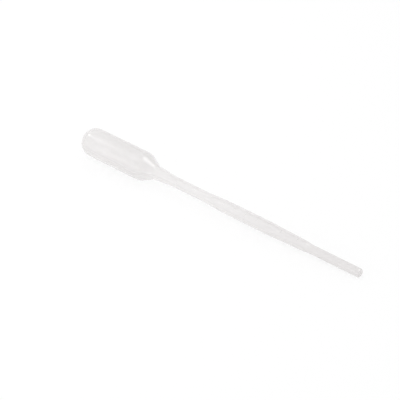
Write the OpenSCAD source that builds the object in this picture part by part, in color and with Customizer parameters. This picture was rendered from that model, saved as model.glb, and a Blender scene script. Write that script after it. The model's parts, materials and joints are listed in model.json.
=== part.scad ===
// Plastic dropper pipette: a bulb, a graduated stem and a fine tip, blown as one thin-walled piece.
// It lies as it comes to rest, on the lower edge of the bulb's shoulder and on the end of its tip.
// +X runs from the bulb to the tip and +Z is up. The origin is on the surface that it lies on,
// under the middle of its length.

/* [Overall] */
// Length from the crown of the bulb to the end of the tip
overall_l = 155; // [145:0.5:175]

/* [Bulb] */
// Outer diameter of the bulb
bulb_d = 14; // [12.5:0.1:16]
// Length of the bulb from its crown to the corner of its shoulder
bulb_l = 37; // [28:0.5:44]
// Radius that rounds the crown of the bulb
crown_r = 5.9; // [4:0.1:6.2]
// Wall of the bulb, thin enough to squeeze
bulb_wall = 0.45; // [0.3:0.05:0.8]
// Extra wall on the heavier side, which settles lowest; the side above is thinner by as much
heavy_side = 0.08; // [0:0.01:0.15]

/* [Shoulder and neck] */
// Length of the shoulder along the pipette, between its two corners
shoulder_l = 7.2; // [5:0.1:12]
// Radius that rounds the bulb into the shoulder
shoulder_r = 6.8; // [3:0.1:8]
// Outer diameter at the foot of the shoulder
neck_d = 6.7; // [5.6:0.1:8]
// Radius that sweeps the shoulder into the neck
neck_r = 3; // [1.5:0.1:6]
// Wall at the neck
neck_wall = 0.75; // [0.5:0.05:1]
// Length over which the neck narrows to the waist of the stem
flare_l = 11; // [6:0.5:16]

/* [Stem] */
// Outer diameter of the waist, the slim upper stretch of the stem
waist_d = 4.9; // [4.4:0.1:5.6]
// Length of the waist
waist_l = 19; // [8:0.5:24]
// Length over which the waist swells to the barrel
swell_l = 10; // [4:0.5:16]
// Outer diameter of the barrel, the widest stretch of the stem
barrel_d = 5.9; // [5.2:0.1:6.6]
// Length over which the barrel tapers towards the tip
taper_l = 20; // [10:0.5:26]
// Outer diameter at the small end of the taper
taper_d = 4.7; // [4.4:0.1:5.2]
// Wall of the stem
stem_wall = 0.65; // [0.45:0.05:0.9]
// Radius that smooths each change of slope along the stem
blend_r = 60; // [20:5:80]

/* [Tip] */
// Outer diameter of the tip
tip_d = 4; // [3.6:0.05:4.2]
// Length of the tip below its step
tip_l = 25.5; // [18:0.5:32]
// Length of the conical step between the stem and the tip
step_l = 2; // [1.2:0.1:4]
// Radius that softens the two corners of the step
step_r = 1.5; // [0.5:0.1:2.5]
// Diameter of the bore through the tip
bore_d = 1.6; // [1:0.05:2]
// Radius that rounds the end of the tip
tip_end_r = 1.1; // [0.3:0.05:1.15]

/* [Graduations] */
// Volume between neighbouring graduations, in cubic millimetres
mark_step = 100; // [50:10:250]
// Volume of the topmost graduation, in cubic millimetres
mark_top = 1000; // [500:50:1000]
// Every graduation of this count is a long one
mark_major = 5; // [2:1:10]
// Angle round the stem of a long graduation
major_angle = 150; // [90:5:170]
// Angle round the stem of a short graduation
minor_angle = 80; // [40:5:85]
// Width of a graduation line
mark_w = 0.4; // [0.3:0.05:0.6]
// Height of a graduation line above the stem
mark_h = 0.12; // [0.08:0.01:0.2]

/* [Hidden] */

// Facets of a full turn and of a rounded corner
turn_fn = 96;
corner_fn = 96;
// A corner that turns by less than this angle is a gentle one, smoothed by this many short cones
gentle_angle = 8;
gentle_steps = 4;
// How far a cut runs past the face that it opens
overcut = 1;
// Half a turn, from the side that lies lowest to the side that faces up
half_turn = 180;
// Turn of the skin about its own axis, so that the middle of a facet lies lowest and not an edge
bed_turn = 3.75;

// Stations along the pipette, measured from the crown of the bulb
neck_s = bulb_l + shoulder_l;
waist_s = neck_s + flare_l;
swell_s = waist_s + waist_l;
barrel_s = swell_s + swell_l;
tip_s = overall_l - tip_l;
step_s = tip_s - step_l;
taper_s = step_s - taper_l;

// Corners of the outer outline, from the crown to the tip: radius, station, rounding
outer = [
    [0, 0, 0],
    [bulb_d / 2, 0, crown_r],
    [bulb_d / 2, bulb_l, shoulder_r],
    [neck_d / 2, neck_s, neck_r],
    [waist_d / 2, waist_s, blend_r],
    [waist_d / 2, swell_s, blend_r],
    [barrel_d / 2, barrel_s, blend_r],
    [barrel_d / 2, taper_s, blend_r],
    [taper_d / 2, step_s, step_r],
    [tip_d / 2, tip_s, step_r],
    [tip_d / 2, overall_l, tip_end_r],
    [0, overall_l, 0]
];
shoulder_i = 2;
taper_i = 8;
tip_i = 10;

// Wall at each corner from the crown down to the small end of the taper
walls = [
    bulb_wall, bulb_wall, bulb_wall, neck_wall,
    stem_wall, stem_wall, stem_wall, stem_wall, stem_wall
];

// Geometry of a corner: the directions of the edges that meet there, and the square to each
function unit(v) = v / norm(v);
function point(corner) = [corner[0], corner[1]];
function edge_in(c, i) = unit(point(c[i]) - point(c[i - 1]));
function edge_out(c, i) = unit(point(c[i + 1]) - point(c[i]));
function outward(edge) = [edge[1], -edge[0]];
function turn(c, i) = edge_in(c, i) * outward(edge_out(c, i));
function bends_out(c, i) = turn(c, i) > 0;

// A corner moved in, square to both its edges, by a distance
function inset_point(c, i, d) =
    let (a = outward(edge_in(c, i)), b = outward(edge_out(c, i)))
    point(c[i]) - d * (a + b) / (1 + a * b);
function inset_corner(c, i, d) =
    let (p = inset_point(c, i, d), r = c[i][2] + (bends_out(c, i) ? -d : d))
    [p[0], p[1], r];

// Where the rounding of a corner starts and ends, and the centre of its arc
function edge_angle(c, i) = acos(edge_in(c, i) * edge_out(c, i));
function arc_reach(c, i) = c[i][2] * tan(edge_angle(c, i) / 2);
function arc_start(c, i) = point(c[i]) - edge_in(c, i) * arc_reach(c, i);
function arc_end(c, i) = point(c[i]) + edge_out(c, i) * arc_reach(c, i);
function arc_radius(c, i) = c[i][2] * (bends_out(c, i) ? 1 : -1);
function arc_centre(c, i) = arc_start(c, i) - arc_radius(c, i) * outward(edge_in(c, i));
function arc_point(c, i, t) =
    arc_centre(c, i)
    + arc_radius(c, i) * unit((1 - t) * outward(edge_in(c, i)) + t * outward(edge_out(c, i)));

// Outline of the cavity: the outer corners moved in by the wall, then the bore of the tip
cavity = concat(
    [[0, bulb_wall, 0]],
    [for (i = [1 : taper_i]) inset_corner(outer, i, walls[i])],
    [
        [bore_d / 2, tip_s, step_r],
        [bore_d / 2, overall_l + overcut, 0],
        [0, overall_l + overcut, 0]
    ]
);

// Rest: the tilt that brings the arc of the shoulder and the arc of the tip's end to one level
rest_a = arc_centre(outer, shoulder_i);
rest_b = arc_centre(outer, tip_i);
rest_span = rest_b - rest_a;
rest_tilt = asin((shoulder_r - tip_end_r) / norm(rest_span))
    - atan2(rest_span[0], rest_span[1]);
rest_h = rest_a[0] * cos(rest_tilt) + rest_a[1] * sin(rest_tilt) + shoulder_r;

// Reach of the resting pipette along X, from the arc of the crown to the arc of the tip's end
crown_c = arc_centre(outer, 1);
reach_low = crown_c[1] * cos(rest_tilt) - crown_c[0] * sin(rest_tilt) - crown_r;
reach_high = rest_b[1] * cos(rest_tilt) + rest_b[0] * sin(rest_tilt) + tip_end_r;

// Radius of the stem at a station, straight between its corners
stem_table = [for (c = outer) [c[1], c[0]]];
function stem_radius(s) = lookup(s, stem_table);

// Volume of the cavity between two of its corners, and the height that a volume fills from below
function cone_slope(low, high) = (high[0] - low[0]) / (low[1] - high[1]);
function cone_volume(low, high) =
    PI / 3 * (low[1] - high[1]) * (low[0] * low[0] + low[0] * high[0] + high[0] * high[0]);
function fill_height(low, high, v) =
    let (k = cone_slope(low, high))
    abs(k) < 0.0001
        ? v / (PI * low[0] * low[0])
        : (pow(3 * k * v / PI + pow(low[0], 3), 1 / 3) - low[0]) / k;

// Station of the level that a volume reaches when it is drawn up through the tip
tip_mouth = [bore_d / 2, overall_l];
function level(v, low = tip_mouth, i = taper_i + 1) =
    let (high = cavity[i], part = cone_volume(low, high))
    (v <= part || i <= shoulder_i)
        ? low[1] - fill_height(low, high, v)
        : level(v - part, high, i - 1);

// Outline with rounded corners. Gentle corners are stepped; the others end in true arcs. The
// outline starts too full, with its outward corners sharp and its inward ones bridged, and each
// is then cut back to its arc.
module rounded(c) {
    last = len(c) - 1;
    difference() {
        polygon([
            for (i = [0 : last])
                each (
                    i == 0 || i == last || c[i][2] == 0 ? [point(c[i])]
                    : edge_angle(c, i) < gentle_angle
                        ? [for (k = [0 : gentle_steps]) arc_point(c, i, k / gentle_steps)]
                    : bends_out(c, i) ? [point(c[i])]
                    : [arc_start(c, i), arc_end(c, i)]
                )
        ]);
        for (i = [1 : last - 1])
            if (c[i][2] > 0 && edge_angle(c, i) >= gentle_angle) corner_cut(c, i);
    }
}

// What is cut off at a corner: the sliver outside its arc where it bends out, and the sliver
// that its bridge covers where it bends in. Both run past the outline that they cut.
module corner_cut(c, i) {
    away = overcut * unit(outward(edge_in(c, i)) + outward(edge_out(c, i)));
    start = arc_start(c, i);
    end = arc_end(c, i);
    if (bends_out(c, i)) {
        difference() {
            polygon([start, end, end + away, point(c[i]) + away, start + away]);
            corner_disc(c, i);
        }
    } else {
        intersection() {
            polygon([start, point(c[i]), end, end + away, start + away]);
            corner_disc(c, i);
        }
    }
}

module corner_disc(c, i) {
    translate(arc_centre(c, i)) circle(r = c[i][2], $fn = corner_fn);
}

// Body of the pipette, turned about its own axis
module skin() {
    rotate_extrude($fn = turn_fn) rounded(outer);
}

// Cavity, set towards the side that faces up at rest, so that the wall below is the heavier
module hollow() {
    translate([-heavy_side, 0, 0])
        rotate_extrude($fn = turn_fn) rounded(cavity);
}

// One graduation line, centred on the side of the stem that faces up at rest
module graduation(s, angle) {
    seat = stem_wall / 2;
    rotate([0, 0, half_turn - angle / 2])
        rotate_extrude(angle = angle, $fn = turn_fn)
            translate([stem_radius(s) - seat, s - mark_w / 2])
                square([seat + mark_h, mark_w]);
}

module graduations() {
    for (n = [1 : floor(mark_top / mark_step)])
        graduation(level(n * mark_step), n % mark_major == 0 ? major_angle : minor_angle);
}

module at_rest() {
    translate([-(reach_low + reach_high) / 2, 0, rest_h])
        rotate([0, 90 + rest_tilt, 0])
            children();
}

module pipette() {
    color([0.93, 0.93, 0.92, 0.6])
        at_rest()
            difference() {
                union() {
                    rotate([0, 0, bed_turn]) skin();
                    graduations();
                }
                hollow();
            }
}

pipette();
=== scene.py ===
"""Looks of a plastic dropper pipette: one thin, milky, blown piece with raised graduation lines."""

import json
import math

import bpy
from mathutils import Matrix, Vector


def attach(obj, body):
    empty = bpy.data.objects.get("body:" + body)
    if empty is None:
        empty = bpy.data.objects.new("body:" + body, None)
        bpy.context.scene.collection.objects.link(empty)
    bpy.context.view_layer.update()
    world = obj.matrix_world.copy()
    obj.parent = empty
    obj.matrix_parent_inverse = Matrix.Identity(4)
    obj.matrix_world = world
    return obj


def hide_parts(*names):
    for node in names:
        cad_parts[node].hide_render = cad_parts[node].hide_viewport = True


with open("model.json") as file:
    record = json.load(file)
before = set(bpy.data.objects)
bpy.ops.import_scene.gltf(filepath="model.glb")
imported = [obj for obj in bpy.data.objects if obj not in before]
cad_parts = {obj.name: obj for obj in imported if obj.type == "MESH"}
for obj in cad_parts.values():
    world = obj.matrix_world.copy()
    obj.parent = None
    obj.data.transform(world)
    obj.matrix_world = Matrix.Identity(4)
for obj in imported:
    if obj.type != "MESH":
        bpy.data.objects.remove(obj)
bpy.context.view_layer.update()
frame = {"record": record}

MM = 0.001
FULL_TURN = 2 * math.pi


# ---------------------------------------------------------------- sizes, in millimetres

OVERALL_L = 155

BULB_R = 7
BULB_L = 37
CROWN_R = 5.9
BULB_WALL = 0.45
# The side that lies lowest is heavier by this much, and the side above is thinner
HEAVY_SIDE = 0.08

SHOULDER_L = 7.2
SHOULDER_R = 6.8
NECK_HALF_D = 3.35
NECK_R = 3
NECK_WALL = 0.75
FLARE_L = 11

WAIST_HALF_D = 2.45
WAIST_L = 19
SWELL_L = 10
BARREL_HALF_D = 2.95
TAPER_L = 20
TAPER_HALF_D = 2.35
STEM_WALL = 0.65
BLEND_R = 60

TIP_HALF_D = 2
TIP_L = 25.5
STEP_L = 2
STEP_R = 1.5
BORE_R = 0.8
TIP_END_R = 1.1

# Graduations: a line at each step of the volume held, in cubic millimetres, with every fifth long
MARK_STEP = 100
MARK_TOP = 1000
MARK_MAJOR = 5
MAJOR_HALF_ANGLE = math.radians(75)
MINOR_HALF_ANGLE = math.radians(40)
MARK_W = 0.4
MARK_H = 0.12
# The share of its width that a line loses at its ends, and how late along it that begins
MARK_NARROWING = 0.6
MARK_SQUARENESS = 12.0
MARK_ARC_STEPS = 48
MARK_SIDES = 12

# Parting line of the mould: a low crest in a shallow bed, which fades out before the step
SEAM_H = 0.05
SEAM_W = 0.12
SEAM_BED_W = 0.9
SEAM_FADE_L = 3

# Stations along the pipette, measured from the crown of the bulb
NECK_S = BULB_L + SHOULDER_L
WAIST_S = NECK_S + FLARE_L
SWELL_S = WAIST_S + WAIST_L
BARREL_S = SWELL_S + SWELL_L
TIP_S = OVERALL_L - TIP_L
STEP_S = TIP_S - STEP_L
TAPER_S = STEP_S - TAPER_L

# Corners of the outer outline, from the crown to the mouth of the bore: radius, station, rounding
OUTER = [
    (0, 0, 0),
    (BULB_R, 0, CROWN_R),
    (BULB_R, BULB_L, SHOULDER_R),
    (NECK_HALF_D, NECK_S, NECK_R),
    (WAIST_HALF_D, WAIST_S, BLEND_R),
    (WAIST_HALF_D, SWELL_S, BLEND_R),
    (BARREL_HALF_D, BARREL_S, BLEND_R),
    (BARREL_HALF_D, TAPER_S, BLEND_R),
    (TAPER_HALF_D, STEP_S, STEP_R),
    (TIP_HALF_D, TIP_S, STEP_R),
    (TIP_HALF_D, OVERALL_L, TIP_END_R),
    (BORE_R, OVERALL_L, 0),
]
TIP_CORNER = 9
# Wall at each corner, from the crown down to the small end of the taper
WALLS = [BULB_WALL] * 3 + [NECK_WALL] + [STEM_WALL] * 5

# Fineness of the skin: rings along it, and points round it, which crowd beside the parting line
ARC_STEP = math.radians(4)
FEWEST_ARC_STEPS = 5
SUPPORT_L = 0.25
OUTER_RUN_L = 3
CAVITY_RUN_L = 4
TURN_STEP = math.radians(3)
SEAM_SPREAD = math.radians(7.5)
SEAM_STEPS = 20


# ---------------------------------------------------------------- finish

# Tone of clear plastic, what each millimetre of haze in the wall takes off it, and its faint
# warm tint
CLEAR_TONE = 0.787
TONE_LOSS = 0.0415
TINT = (1.007, 0.98, 0.976)
GLOSS_ROUGHNESS = 0.2
PLASTIC_IOR = 1.51

# How fast a millimetre of haze hides what is behind
CLOUDING = 1.6
# Station of a painted dark ring near the crown, and how far it reaches to each side
CROWN_SHADE_RING_S = 4.7
CROWN_SHADE_RING_HALF_W = 0.4
# Millimetres of haze in one wall, by station: the blown part is clearer than the drawn tip.
# Near the crown the stops also hold painted light: the crown's lower haze is a painted
# reflection band, the ring after it a painted dark line, and the bulb is hazier towards the
# dome as painted shade that offsets the brightening from the dome gleam.
HAZE_AND_PAINTED_LIGHT_ALONG = [
    # Lower haze on the crown: a painted reflection band, ended by a painted dark ring
    (0, 0.38),
    (CROWN_SHADE_RING_S - CROWN_SHADE_RING_HALF_W, 0.38),
    (CROWN_SHADE_RING_S, 0.7),
    (CROWN_SHADE_RING_S + CROWN_SHADE_RING_HALF_W, 0.64),
    # Hazier towards the dome: painted shade that offsets the dome gleam
    (BULB_L - 17, 0.58),
    (BULB_L - 1, 0.5),
    (BULB_L + 4, 0.42),
    (SWELL_S - 0.2, 0.42),
    (TAPER_S - 0.5, 0.58),
    (STEP_S, 0.8),
    (TIP_S + 0.5, 1.2),
    (OVERALL_L, 1.4),
]
# Share of the haze on the cavity's surface, and share that holds back light on its way in
CAVITY_HAZE = 0.08
HELD_BACK = 0.2
# The parting line is cloudier by this share, over this many millimetres to each side
SEAM_HAZE = 0.5
SEAM_HAZE_W = 0.3
MARK_HAZE = 0.2

# Flow of the melt: thicker and thinner patches, longer along the pipette, and their ripple
FLOW_SCALE = 220
FLOW_STRETCH = (0.35, 1, 1)
FLOW_DETAIL = 3
UNEVENNESS = 0.3
RIPPLE_STRENGTH = 0.35
RIPPLE_DEPTH = 0.1 * MM

PAPER_WHITE = 0.93
FLOOR_HALF_SIZE = 3
# Brightness that the floor shows to the eye and in gloss, and how much of it is that glow
FLOOR_GLOW = 1.02
GLOW_SHARE = 0.4


# ---------------------------------------------------------------- outline

def corner_frame(corners, i):
    """A corner, the directions of the two edges that meet there, and the angle between them."""
    here = Vector(corners[i][:2])
    before = (here - Vector(corners[i - 1][:2])).normalized()
    after = (Vector(corners[i + 1][:2]) - here).normalized()
    return here, before, after, before.angle(after)


def corner_reach(corners, i):
    """How far the arc that rounds a corner runs along each of its edges."""
    return corners[i][2] * math.tan(corner_frame(corners, i)[3] / 2)


def outward(edge):
    """Square to an edge of an outline, away from the axis."""
    return Vector((edge.y, -edge.x))


def rounded(corners):
    """Points along an outline whose corners are rounded by arcs."""
    points = [Vector(corners[0][:2])]
    for i in range(1, len(corners) - 1):
        here, before, after, bend = corner_frame(corners, i)
        radius = corners[i][2]
        if radius == 0:
            points.append(here)
            continue
        side = 1 if before.dot(outward(after)) > 0 else -1
        centre = here - before * corner_reach(corners, i) - outward(before) * radius * side
        steps = max(FEWEST_ARC_STEPS, math.ceil(bend / ARC_STEP))
        for k in range(steps + 1):
            t = k / steps
            spoke = outward(before) * math.sin((1 - t) * bend) + outward(after) * math.sin(t * bend)
            points.append(centre + spoke.normalized() * radius * side)
    points.append(Vector(corners[-1][:2]))
    return points


def inset_corner(corners, i, wall):
    """A corner of the cavity, set in from the outer corner by the wall."""
    here, before, after, _ = corner_frame(corners, i)
    a, b = outward(before), outward(after)
    moved = here - (a + b) * wall / (1 + a.dot(b))
    bends_out = before.dot(b) > 0
    return (moved.x, moved.y, corners[i][2] + (-wall if bends_out else wall))


def supported(points, longest):
    """The same outline with long straight runs divided, and a point close to each of their ends."""
    out = [points[0]]
    for a, b in zip(points, points[1:]):
        run = (b - a).length
        if run > 4 * SUPPORT_L:
            middle = run - 2 * SUPPORT_L
            pieces = max(1, math.ceil(middle / longest))
            stops = [SUPPORT_L + middle * k / pieces for k in range(pieces + 1)]
            out += [a + (b - a) * (stop / run) for stop in stops]
        out.append(b)
    return out


outer_line = supported(rounded(OUTER), OUTER_RUN_L)
cavity_corners = [(0, BULB_WALL, 0)]
cavity_corners += [inset_corner(OUTER, i, WALLS[i]) for i in range(1, len(WALLS))]
cavity_corners += [(BORE_R, TIP_S, STEP_R), (BORE_R, OVERALL_L, 0)]
cavity_line = supported(rounded(cavity_corners), CAVITY_RUN_L)


def between(stops, station):
    """Value at a station, read off a list of (station, value) stops."""
    for (a, value_a), (b, value_b) in zip(stops, stops[1:]):
        if station <= b:
            return value_a + (value_b - value_a) * max(0, station - a) / (b - a)
    return stops[-1][1]


# ---------------------------------------------------------------- place of the pipette

# The tip's mount sits halfway along its straight outside, between the roundings at its ends
tip = next(m for m in frame["record"]["mounts"] if m["name"] == "tip_outside")
along = Vector(tip["axis"]).normalized()
upward = along.cross(Vector((0, 1, 0)))
mount_s = (TIP_S + corner_reach(OUTER, TIP_CORNER) + OVERALL_L - TIP_END_R) / 2
crown = Vector(tip["pos_m"]) - along * mount_s * MM
# Local X faces up at rest, local Z runs from the crown to the tip
placed = Matrix((upward, along.cross(upward), along)).transposed().to_4x4()
placed.translation = crown


# ---------------------------------------------------------------- skin

def bell(x):
    """1 at the middle, falling smoothly to 0 on both sides."""
    return math.exp(-x * x)


def turns():
    """Angles round the axis, closer together beside the parting line on both sides."""
    angles = []
    count = round(FULL_TURN / TURN_STEP)
    for k in range(count):
        angle = k * FULL_TURN / count
        from_seam = abs((angle % math.pi) - math.pi / 2)
        if from_seam > SEAM_SPREAD + TURN_STEP / 2:
            angles.append(angle)
    for middle in (math.pi / 2, 3 * math.pi / 2):
        for k in range(SEAM_STEPS + 1):
            angles.append(middle + SEAM_SPREAD * (2 * k / SEAM_STEPS - 1))
    return sorted(angles)


def seam_drop(height, station):
    """How far the skin drops beside the parting line, whose own crest stays at full radius."""
    bed = bell(height / SEAM_BED_W) * (1 - bell(height / SEAM_W))
    fade = min(1, max(0, (STEP_S - station) / SEAM_FADE_L))
    return SEAM_H * bed * fade


def skin_mesh():
    """One closed wall: down the outside from the crown to the tip, then back up the cavity."""
    angles = turns()
    n = len(angles)
    vertices, faces, haze_and_painted_light = [], [], []

    def pole(x, station, share):
        vertices.append((x, 0, station))
        haze_and_painted_light.append(between(HAZE_AND_PAINTED_LIGHT_ALONG, station) * share)
        return [len(vertices) - 1] * n

    def ring(point, shift, seamed, share):
        start = len(vertices)
        even = between(HAZE_AND_PAINTED_LIGHT_ALONG, point.y) * share
        for angle in angles:
            x, y = point.x * math.cos(angle), point.x * math.sin(angle)
            haze_and_painted_light.append(even * (1 + (SEAM_HAZE * bell(x / SEAM_HAZE_W) if seamed else 0)))
            if seamed:
                kept = 1 - seam_drop(x, point.y) / point.x
                x, y = x * kept, y * kept
            vertices.append((x + shift, y, point.y))
        return list(range(start, start + n))

    rings = [pole(0, outer_line[0].y, 1)]
    rings += [ring(p, 0, p.y < STEP_S, 1) for p in outer_line[1:-1]]
    rings += [ring(p, HEAVY_SIDE, False, CAVITY_HAZE) for p in reversed(cavity_line[1:])]
    rings.append(pole(HEAVY_SIDE, cavity_line[0].y, CAVITY_HAZE))
    for low, high in zip(rings, rings[1:]):
        for k in range(n):
            m = (k + 1) % n
            corners = []
            for v in (low[k], high[k], high[m], low[m]):
                if v not in corners:
                    corners.append(v)
            if len(corners) > 2:
                faces.append(corners[::-1])
    return vertices, faces, haze_and_painted_light


def pipette_skin():
    vertices, faces, haze_and_painted_light = skin_mesh()
    mesh = bpy.data.meshes.new("pipette_skin")
    mesh.from_pydata([placed @ (Vector(v) * MM) for v in vertices], [], faces)
    mesh.shade_smooth()
    mesh.attributes.new("haze_and_painted_light", "FLOAT", "POINT").data.foreach_set("value", haze_and_painted_light)
    piece = bpy.data.objects.new("pipette_skin", mesh)
    bpy.context.scene.collection.objects.link(piece)
    return piece


# ---------------------------------------------------------------- materials

def math_node(nodes, links, operation, *values):
    """A Math node whose inputs are sockets or plain numbers; returns its output."""
    node = nodes.new("ShaderNodeMath")
    node.operation = operation
    for socket, value in zip(node.inputs, values):
        if isinstance(value, bpy.types.NodeSocket):
            links.new(value, socket)
        else:
            socket.default_value = value
    return node.outputs["Value"]


def flow_pattern(nodes, links):
    """Patches of thicker and thinner wall, stretched along the pipette as it was drawn."""
    spot = nodes.new("ShaderNodeTexCoord")
    stretched = nodes.new("ShaderNodeMapping")
    stretched.inputs["Scale"].default_value = FLOW_STRETCH
    links.new(spot.outputs["Object"], stretched.inputs["Vector"])
    flow = nodes.new("ShaderNodeTexNoise")
    flow.inputs["Scale"].default_value = FLOW_SCALE
    flow.inputs["Detail"].default_value = FLOW_DETAIL
    links.new(stretched.outputs["Vector"], flow.inputs["Vector"])
    return flow.outputs["Fac"]


def polyethylene():
    """Milky plastic: the more haze there is in the wall, the less shows behind it."""
    mat = bpy.data.materials.new("milky_polyethylene")
    mat.use_nodes = True
    nodes, links = mat.node_tree.nodes, mat.node_tree.links
    shader = nodes["Principled BSDF"]
    shader.inputs["Roughness"].default_value = GLOSS_ROUGHNESS
    shader.inputs["IOR"].default_value = PLASTIC_IOR

    flow = flow_pattern(nodes, links)
    ripple = nodes.new("ShaderNodeBump")
    ripple.inputs["Strength"].default_value = RIPPLE_STRENGTH
    ripple.inputs["Distance"].default_value = RIPPLE_DEPTH
    links.new(flow, ripple.inputs["Height"])
    links.new(ripple.outputs["Normal"], shader.inputs["Normal"])

    # The haze attribute also carries painted light near the crown: a lighter painted reflection
    # band, a painted dark ring and painted shade on the bulb near the dome. It darkens the tone and
    # the see-through share alike
    haze_and_painted_light = nodes.new("ShaderNodeAttribute")
    haze_and_painted_light.attribute_name = "haze_and_painted_light"
    lost = math_node(nodes, links, "MULTIPLY", haze_and_painted_light.outputs["Fac"], -TONE_LOSS)
    tone = nodes.new("ShaderNodeVectorMath")
    tone.operation = "SCALE"
    tone.inputs[0].default_value = TINT
    links.new(math_node(nodes, links, "ADD", lost, CLEAR_TONE), tone.inputs["Scale"])
    links.new(tone.outputs["Vector"], shader.inputs["Base Color"])

    uneven = nodes.new("ShaderNodeMapRange")
    uneven.inputs["To Min"].default_value = 1 - UNEVENNESS
    uneven.inputs["To Max"].default_value = 1 + UNEVENNESS
    links.new(flow, uneven.inputs["Value"])
    wall = math_node(nodes, links, "MULTIPLY", haze_and_painted_light.outputs["Fac"], uneven.outputs["Result"])
    fog = math_node(nodes, links, "MULTIPLY", wall, -CLOUDING)
    solid = math_node(nodes, links, "SUBTRACT", 1.0, math_node(nodes, links, "EXPONENT", fog))

    # Seen by the eye or in gloss, the haze counts in full; light on its way in mostly passes
    path = nodes.new("ShaderNodeLightPath")
    seen = math_node(nodes, links, "MAXIMUM", path.outputs["Is Camera Ray"],
                     path.outputs["Is Glossy Ray"])
    share = nodes.new("ShaderNodeMapRange")
    share.inputs["To Min"].default_value = HELD_BACK
    links.new(seen, share.inputs["Value"])
    opacity = math_node(nodes, links, "MULTIPLY", solid, share.outputs["Result"])
    links.new(opacity, shader.inputs["Alpha"])
    return mat


def white_floor():
    """White paper that takes the pipette's shadow, and glows a little to the eye."""
    mat = bpy.data.materials.new("white_floor")
    mat.use_nodes = True
    nodes, links = mat.node_tree.nodes, mat.node_tree.links
    nodes.remove(nodes["Principled BSDF"])
    paper = nodes.new("ShaderNodeBsdfDiffuse")
    paper.inputs["Color"].default_value = (PAPER_WHITE, PAPER_WHITE, PAPER_WHITE, 1)
    glow = nodes.new("ShaderNodeEmission")
    glow.inputs["Color"].default_value = (1, 1, 1, 1)
    glow.inputs["Strength"].default_value = FLOOR_GLOW
    path = nodes.new("ShaderNodeLightPath").outputs
    seen = math_node(nodes, links, "ADD", path["Is Camera Ray"], path["Is Glossy Ray"])
    seen = math_node(nodes, links, "ADD", seen, path["Is Transmission Ray"])
    share = math_node(nodes, links, "MULTIPLY", seen, GLOW_SHARE)
    mix = nodes.new("ShaderNodeMixShader")
    links.new(share, mix.inputs["Fac"])
    links.new(paper.outputs["BSDF"], mix.inputs[1])
    links.new(glow.outputs["Emission"], mix.inputs[2])
    links.new(mix.outputs["Shader"], nodes["Material Output"].inputs["Surface"])
    return mat


# ---------------------------------------------------------------- graduations

def filled_to(volume):
    """Station of the liquid's surface when the pipette, tip down, holds a volume."""
    held = 0
    for high, low in zip(cavity_line[-2::-1], cavity_line[:0:-1]):
        length = low.y - high.y
        slice_held = math.pi * length * (low.x**2 + low.x * high.x + high.x**2) / 3
        if held + slice_held >= volume:
            return low.y - length * (volume - held) / slice_held
        held += slice_held
    return cavity_line[0].y


def radius_at(station):
    return between([(p.y, p.x) for p in outer_line], station)


def graduation_edges():
    """One short edge for each line, which carries its station, radius and half angle."""
    count = round(MARK_TOP / MARK_STEP)
    mesh = bpy.data.meshes.new("graduations")
    mesh.from_pydata([(end, k, 0) for k in range(count) for end in (0, 1)],
                     [(2 * k, 2 * k + 1) for k in range(count)], [])
    stations, radii, spans = [], [], []
    for k in range(1, count + 1):
        station = filled_to(k * MARK_STEP)
        stations += [station] * 2
        radii += [radius_at(station)] * 2
        spans += [MINOR_HALF_ANGLE if k % MARK_MAJOR else MAJOR_HALF_ANGLE] * 2
    for name, values in (("station", stations), ("radius_out", radii), ("half_angle", spans)):
        mesh.attributes.new(name, "FLOAT", "POINT").data.foreach_set("value", values)
    piece = bpy.data.objects.new("graduations", mesh)
    bpy.context.scene.collection.objects.link(piece)
    return piece


def named_value(nodes, name):
    """What an edge carries under a name."""
    node = nodes.new("GeometryNodeInputNamedAttribute")
    node.data_type = "FLOAT"
    node.inputs["Name"].default_value = name
    return node.outputs["Attribute"]


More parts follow.
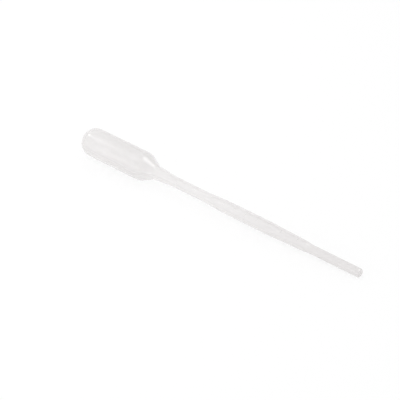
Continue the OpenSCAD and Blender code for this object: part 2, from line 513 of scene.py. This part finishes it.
def graduation_tree():
    """Bends each edge into an arc round the axis and gives it a round, tapering ridge."""
    tree = bpy.data.node_groups.new("graduation_ridges", "GeometryNodeTree")
    face = tree.interface
    face.new_socket("Edges", in_out="INPUT", socket_type="NodeSocketGeometry")
    sockets = {}
    for name, kind in (("Ridge Radius", "Float"), ("Rise", "Float"), ("Haze", "Float"),
                       ("Narrowing", "Float"), ("Squareness", "Float"),
                       ("Arc Steps", "Int"), ("Sides", "Int"), ("Plastic", "Material")):
        sockets[name] = face.new_socket(name, in_out="INPUT", socket_type="NodeSocket" + kind)
    face.new_socket("Ridges", in_out="OUTPUT", socket_type="NodeSocketGeometry")
    nodes, links = tree.nodes, tree.links
    given = nodes.new("NodeGroupInput").outputs

    curve = nodes.new("GeometryNodeMeshToCurve")
    links.new(given["Edges"], curve.inputs["Mesh"])
    divided = nodes.new("GeometryNodeResampleCurve")
    links.new(curve.outputs["Curve"], divided.inputs["Curve"])
    links.new(given["Arc Steps"], divided.inputs["Count"])

    along_arc = nodes.new("GeometryNodeSplineParameter").outputs["Factor"]
    both_ways = math_node(nodes, links, "MULTIPLY_ADD", along_arc, 2.0, -1.0)
    angle = math_node(nodes, links, "MULTIPLY", both_ways, named_value(nodes, "half_angle"))
    sunk = math_node(nodes, links, "SUBTRACT", given["Ridge Radius"], given["Rise"])
    reach = math_node(nodes, links, "SUBTRACT", named_value(nodes, "radius_out"), sunk)
    spot = nodes.new("ShaderNodeCombineXYZ")
    for axis, turn in (("X", "COSINE"), ("Y", "SINE")):
        spread = math_node(nodes, links, turn, angle)
        links.new(math_node(nodes, links, "MULTIPLY", spread, reach), spot.inputs[axis])
    links.new(named_value(nodes, "station"), spot.inputs["Z"])
    bent = nodes.new("GeometryNodeSetPosition")
    links.new(divided.outputs["Curve"], bent.inputs["Geometry"])
    links.new(spot.outputs["Vector"], bent.inputs["Position"])

    # The ridge keeps its width along most of the arc and narrows into the skin at its ends
    from_middle = math_node(nodes, links, "ABSOLUTE", both_ways)
    near_end = math_node(nodes, links, "POWER", from_middle, given["Squareness"])
    lost = math_node(nodes, links, "MULTIPLY", near_end, given["Narrowing"])
    width = math_node(nodes, links, "SUBTRACT", 1.0, lost)
    narrowed = nodes.new("GeometryNodeSetCurveRadius")
    links.new(bent.outputs["Geometry"], narrowed.inputs["Curve"])
    links.new(width, narrowed.inputs["Radius"])
    circle = nodes.new("GeometryNodeCurvePrimitiveCircle")
    links.new(given["Sides"], circle.inputs["Resolution"])
    links.new(given["Ridge Radius"], circle.inputs["Radius"])
    ridge = nodes.new("GeometryNodeCurveToMesh")
    links.new(narrowed.outputs["Curve"], ridge.inputs["Curve"])
    links.new(circle.outputs["Curve"], ridge.inputs["Profile Curve"])
    ridge.inputs["Fill Caps"].default_value = True

    hazed = nodes.new("GeometryNodeStoreNamedAttribute")
    hazed.data_type, hazed.domain = "FLOAT", "POINT"
    hazed.inputs["Name"].default_value = "haze_and_painted_light"
    links.new(ridge.outputs["Mesh"], hazed.inputs["Geometry"])
    links.new(given["Haze"], hazed.inputs["Value"])
    smooth = nodes.new("GeometryNodeSetShadeSmooth")
    links.new(hazed.outputs["Geometry"], smooth.inputs["Geometry"])
    real = nodes.new("GeometryNodeRealizeInstances")
    links.new(smooth.outputs["Geometry"], real.inputs["Geometry"])
    coated = nodes.new("GeometryNodeSetMaterial")
    links.new(real.outputs["Geometry"], coated.inputs["Geometry"])
    links.new(given["Plastic"], coated.inputs["Material"])
    links.new(coated.outputs["Geometry"], nodes.new("NodeGroupOutput").inputs["Ridges"])
    return tree, sockets


def graduation_ridges(plastic):
    """All the lines as one plain mesh, in place on the stem."""
    piece = graduation_edges()
    tree, sockets = graduation_tree()
    grow = piece.modifiers.new("ridges", "NODES")
    grow.node_group = tree
    values = {
        "Ridge Radius": MARK_W / 2, "Rise": MARK_H, "Haze": MARK_HAZE,
        "Narrowing": MARK_NARROWING, "Squareness": MARK_SQUARENESS,
        "Arc Steps": MARK_ARC_STEPS, "Sides": MARK_SIDES, "Plastic": plastic,
    }
    for name, value in values.items():
        grow[sockets[name].identifier] = value
    bpy.context.view_layer.update()
    grown = piece.evaluated_get(bpy.context.evaluated_depsgraph_get())
    mesh = bpy.data.meshes.new_from_object(grown)
    piece.modifiers.remove(grow)
    mesh.transform(placed @ Matrix.Scale(MM, 4))
    piece.data = mesh
    return piece


# ---------------------------------------------------------------- pieces

plastic = polyethylene()
skin = pipette_skin()
skin.data.materials.append(plastic)
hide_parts("pipette")
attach(skin, "root")
ridges = graduation_ridges(plastic)
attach(ridges, "root")


# ---------------------------------------------------------------- stage, in metres and watts

# Lamps that light: name, place, aim, size, power
LAMPS = [
    ("dome_lamp", (-0.65, 0, 0.38), (-0.07, 0, 0.01), (0.05, 0.05), 0.3),
    ("top_lamp", (-0.093, -0.03, 0.71), (-0.037, 0, 0.01), (0.03, 0.03), 0.15),
    ("front_fill", (-0.25, -0.6, 0.12), (0, 0, 0.005), (0.6, 0.3), 0.4),
]
# Lamps that only gleam in the gloss, and cast no light on the colours
GLEAMS = [
    ("dome_gleam", (-0.541, -0.141, 0.515), (-0.072, -0.004, 0.014), (0.13, 0.13), 1.2),
    ("shoulder_gleam", (0.156, 0.198, 0.655), (-0.038, -0.001, 0.012), (0.35, 0.35), 2.6),
]
CAMERA_PLACE = (0.24703, -0.3197, 0.28517)
CAMERA_AIM = (-0.00669, -0.00112, 0.00333)
CAMERA_LENS = 99
CAMERA_SENSOR = 36


def floor():
    half = FLOOR_HALF_SIZE
    mesh = bpy.data.meshes.new("floor")
    mesh.from_pydata([(-half, -half, 0), (half, -half, 0), (half, half, 0), (-half, half, 0)],
                     [], [(0, 1, 2, 3)])
    mesh.materials.append(white_floor())
    obj = bpy.data.objects.new("floor", mesh)
    bpy.context.scene.collection.objects.link(obj)


def aimed(obj, place, aim):
    """Puts a lamp or a camera in its place and turns it to what it aims at."""
    obj.location = place
    obj.rotation_euler = (Vector(aim) - Vector(place)).to_track_quat("-Z", "Y").to_euler()
    bpy.context.scene.collection.objects.link(obj)


def area_lamp(name, place, aim, size, power):
    data = bpy.data.lights.new(name, "AREA")
    data.shape = "RECTANGLE"
    data.size, data.size_y = size
    data.energy = power
    lamp = bpy.data.objects.new(name, data)
    aimed(lamp, place, aim)
    return lamp


def studio():
    """Even white light from all round, three small lamps and two gleams."""
    world = bpy.data.worlds.new("studio")
    bpy.context.scene.world = world
    world.use_nodes = True
    sky = world.node_tree.nodes["Background"]
    sky.inputs["Color"].default_value = (1, 1, 1, 1)
    sky.inputs["Strength"].default_value = 1
    for lamp in LAMPS:
        area_lamp(*lamp)
    for gleam in GLEAMS:
        area_lamp(*gleam).visible_diffuse = False


def camera():
    data = bpy.data.cameras.new("camera")
    data.sensor_width = CAMERA_SENSOR
    data.lens = CAMERA_LENS
    cam = bpy.data.objects.new("camera", data)
    aimed(cam, CAMERA_PLACE, CAMERA_AIM)
    bpy.context.scene.camera = cam


floor()
studio()
camera()
bpy.context.scene.view_settings.view_transform = "Standard"
